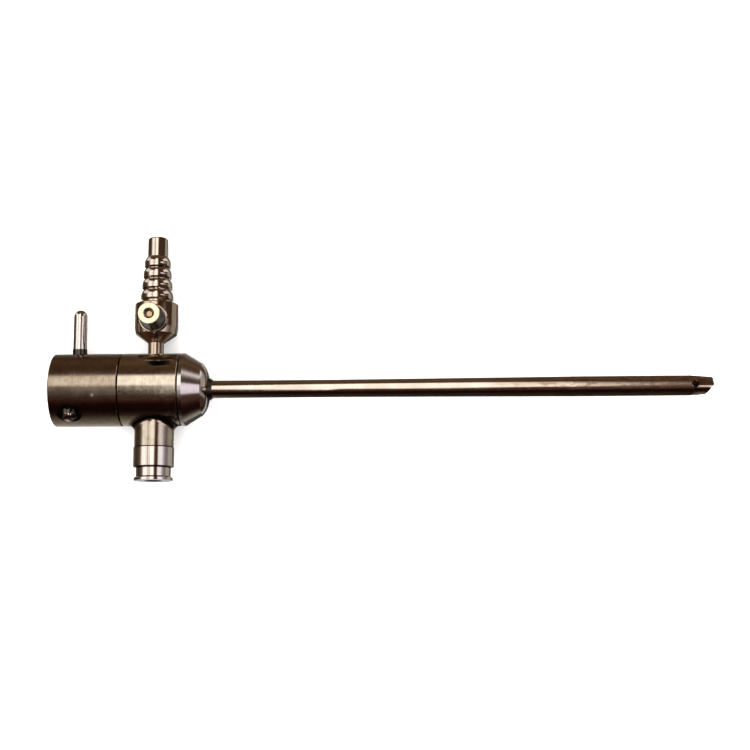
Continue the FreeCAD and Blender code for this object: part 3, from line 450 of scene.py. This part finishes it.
def make_floor(height):
    """A plain pale floor that the sheath lies on."""
    bpy.ops.object.select_all(action="DESELECT")
    bpy.ops.mesh.primitive_plane_add(size=FLOOR_SIZE, location=(STAGE_X, 0, height))
    floor = bpy.context.object
    floor.name = "floor"
    floor.visible_glossy = False
    material, nodes, shader = new_material("pale_matte_floor")
    grain = nodes.noise(nodes.coordinates(), 700.0, 5.0)
    nodes.feed(shader, "Base Color", nodes.ramp(grain, FLOOR_GREYS))
    shader.inputs["Roughness"].default_value = 1.0
    shader.inputs["Specular IOR Level"].default_value = 0.0
    floor.data.materials.append(material)


OVERHEAD_SIZE = 2.4
OVERHEAD_HEIGHT = 1.2
OVERHEAD_POWER = 62.0


def light_studio():
    """A wide soft light overhead, which the metal doesn't mirror."""
    data = bpy.data.lights.new("overhead", "AREA")
    data.size = OVERHEAD_SIZE
    data.energy = OVERHEAD_POWER
    light = bpy.data.objects.new("overhead", data)
    bpy.context.scene.collection.objects.link(light)
    light.location = (STAGE_X, 0, OVERHEAD_HEIGHT)
    light.visible_glossy = False
    light.visible_camera = False


# The room's angles are in degrees. Beta runs round the X axis, from straight up towards +Y.
WALLS = [
    (-180, (0.05, 0.035, 0.03)),
    (-172, (0.2, 0.2, 0.2)),
    (-163, (0.6, 0.6, 0.62)),
    (-148, (0.6, 0.6, 0.58)),
    (-123, (0.36, 0.35, 0.28)),
    (-100, (0.17, 0.15, 0.12)),
    (-82, (0.035, 0.02, 0.015)),
    (-66, (0.01, 0.003, 0.003)),
    (-45, (0.014, 0.004, 0.003)),
    (-36, (0.04, 0.012, 0.008)),
    (-28, (0.08, 0.037, 0.025)),
    (-8, (0.06, 0.037, 0.026)),
    (60, (0.08, 0.04, 0.02)),
    (82, (0.11, 0.06, 0.03)),
    (100, (0.15, 0.09, 0.05)),
    (123, (0.09, 0.05, 0.03)),
    (150, (0.2, 0.17, 0.14)),
    (163, (0.55, 0.54, 0.48)),
    (172, (0.2, 0.17, 0.15)),
    (180, (0.05, 0.035, 0.03)),
]

# The window's colours and its two edges. Alpha runs round the Y axis, from straight up towards +X.
WINDOW = [
    (-166, (0.9, 0.9, 0.9)),
    (-150, (0.65, 0.64, 0.62)),
    (-134, (0.22, 0.19, 0.15)),
    (-116, (0.06, 0.04, 0.024)),
    (-92, (0.08, 0.05, 0.03)),
    (-76, (0.14, 0.1, 0.065)),
    (-67, (0.5, 0.45, 0.38)),
    (-61, (1.5, 1.47, 1.4)),
    (-40, (1.6, 1.55, 1.45)),
    (-30, (1.3, 1.2, 1.1)),
    (-25, (0.4, 0.28, 0.2)),
    (-20, (1.8, 1.75, 1.6)),
    (6, (1.95, 1.88, 1.75)),
    (12, (1.0, 0.8, 0.65)),
    (16, (0.12, 0.07, 0.04)),
    (32, (0.06, 0.035, 0.02)),
    (38, (1.35, 1.3, 1.32)),
    (56, (1.3, 1.23, 1.3)),
    (70, (0.5, 0.45, 0.5)),
    (86, (0.2, 0.17, 0.17)),
    (104, (0.45, 0.43, 0.36)),
    (130, (0.45, 0.43, 0.37)),
    (150, (0.7, 0.68, 0.62)),
    (168, (0.9, 0.88, 0.85)),
]
SILL = [(-180, -10), (-24, -10), (-20, 12), (-9.5, 12), (-6.5, -14), (-1, -24), (4, -24), (9, 0),
        (14, 12), (30, 12), (36, -14), (180, -14)]
TOP = [(-180, 48), (-9.5, 48), (-6, 60), (14, 60), (24, 21), (58, 17), (66, 14), (100, 9), (112, 40),
       (180, 40)]
SILL_SOFTNESS = 7.0
TOP_SOFTNESS = (5.0, 1.0)
TOP_SHARPENS = (16.0, 24.0)

BACKDROP_WHITE = (1.0, 1.0, 1.0)
SIDE_WINDOW = (1.0, 0.95, 0.88)
TIP_GLEAM = (1.5, 1.25, 1.2)

# How large a direction's part along X is where it begins to count as sideways, and where it does.
SIDEWAYS_EDGE = (0.35, 0.75)

# The tube mirrors only directions whose part along X is close to this.
TUBE_MIRRORS = 0.095
TUBE_MIRRORS_EDGE = (0.2, 0.25)
DARK_GROUND = (0.01, 0.004, 0.003)
DARK_GROUND_EDGE = (-92.0, -76.0)
DARK_GROUND_SHARE = 0.88


def light_room():
    """The room that the metal mirrors: a cream window at +Y, dark walls, pale ground at the edges."""
    world = bpy.data.worlds.new("studio_room")
    bpy.context.scene.world = world
    world.use_nodes = True
    nodes = Nodes(world.node_tree)
    direction = nodes.add("ShaderNodeTexCoord").outputs["Generated"]
    x, y, z = nodes.parts(direction)
    alpha = nodes.degrees("ARCTAN2", x, z)
    height = nodes.degrees("ARCSINE", y)
    sideways = nodes.between(nodes.math("ABSOLUTE", x), *SIDEWAYS_EDGE, smooth=True)
    beta = angle_round_x(nodes, y, z, height, sideways)
    clouds = nodes.between(nodes.noise(direction, 2.2), 0.25, 0.6, 0.8, 1.0)
    inside = nodes.product(window_shape(nodes, alpha, beta), clouds)
    colour = nodes.mix(inside, room_walls(nodes, beta, x), round_ramp(nodes, alpha, WINDOW))
    colour = nodes.mix(side_windows(nodes, alpha, height, sideways), colour, SIDE_WINDOW)
    colour = nodes.mix(low_window(nodes, alpha, beta), colour, TIP_GLEAM)
    seen = nodes.add("ShaderNodeLightPath").outputs["Is Camera Ray"]
    colour = nodes.mix(seen, colour, BACKDROP_WHITE)
    background = nodes.add("ShaderNodeBackground", Color=colour, Strength=1.0)
    nodes.add("ShaderNodeOutputWorld", Surface=background.outputs[0])


def angle_round_x(nodes, y, z, height, sideways):
    """The angle round the X axis, or the height above the XZ plane where a direction is sideways."""
    ahead = nodes.math("SUBTRACT", 1.0, sideways)
    beta = nodes.degrees("ARCTAN2", y, z)
    return nodes.math("ADD", nodes.product(beta, ahead), nodes.product(height, sideways))


def round_ramp(nodes, angle, stops):
    """A ramp whose stops are given as angles from -180 to 180 degrees."""
    place = nodes.between(angle, -180.0, 180.0)
    return nodes.ramp(place, [((stop + 180) / 360, colour) for stop, colour in stops])


def angle_line(nodes, angle, stops):
    """A line of angles over an angle, read from a grey ramp that holds them as parts of 180 degrees."""
    greys = [(stop, ((value + 90) / 180,) * 3) for stop, value in stops]
    return nodes.between(round_ramp(nodes, angle, greys), 0.0, 1.0, -90.0, 90.0)


def room_walls(nodes, beta, x):
    """The walls, with the ground dark where only the tube mirrors it."""
    under = nodes.between(beta, *DARK_GROUND_EDGE, 1.0, 0.0)
    off = nodes.math("ABSOLUTE", nodes.math("SUBTRACT", x, TUBE_MIRRORS))
    from_tube = nodes.between(off, *TUBE_MIRRORS_EDGE, 1.0, 0.0)
    dim = nodes.product(under, from_tube, DARK_GROUND_SHARE)
    return nodes.mix(dim, round_ramp(nodes, beta, WALLS), DARK_GROUND)


def window_shape(nodes, alpha, beta):
    """How much of the window lies in a direction, from its sill to its top."""
    above_sill = nodes.math("SUBTRACT", beta, angle_line(nodes, alpha, SILL))
    rise = nodes.between(above_sill, 0.0, SILL_SOFTNESS, smooth=True)
    above_top = nodes.math("SUBTRACT", beta, angle_line(nodes, alpha, TOP))
    softness = nodes.between(alpha, *TOP_SHARPENS, *TOP_SOFTNESS)
    over = nodes.math("DIVIDE", above_top, softness)
    fall = nodes.between(over, -1.0, 1.0, 1.0, 0.0, smooth=True)
    return nodes.product(rise, fall)


def side_windows(nodes, alpha, height, sideways):
    """High windows at both ends of the room, which light the sheath in the views from its sides."""
    across = nodes.band(nodes.math("ABSOLUTE", alpha), (64.0, 70.0), (122.0, 132.0))
    return nodes.product(across, sideways, nodes.band(height, (21.0, 25.0), (42.0, 50.0)))


def low_window(nodes, alpha, beta):
    """A low opening that only the tapered tip of the tube mirrors."""
    across = nodes.band(alpha, (19.0, 22.0), (33.0, 36.0))
    return nodes.product(across, nodes.band(beta, (-30.0, -22.0), (0.0, 5.0)))


CAMERA_PLACE = (87.7, 3.58, 343.75)
CAMERA_ROLL = math.radians(-0.478)
LENS_MM = 60
SENSOR_MM = 36


def make_camera():
    """Looks straight down on the sheath, as in the photograph."""
    data = bpy.data.cameras.new("camera")
    data.lens = LENS_MM
    data.sensor_width = SENSOR_MM
    data.clip_start = 10 * MM
    camera = bpy.data.objects.new("camera", data)
    bpy.context.scene.collection.objects.link(camera)
    camera.location = Vector(CAMERA_PLACE) * MM
    camera.rotation_euler = (0, 0, CAMERA_ROLL)
    bpy.context.scene.camera = camera


make_camera()
dress_nodes(make_finishes())
make_floor(cad_box[0].z)
light_studio()
light_room()
bpy.context.scene.view_settings.view_transform = "Standard"
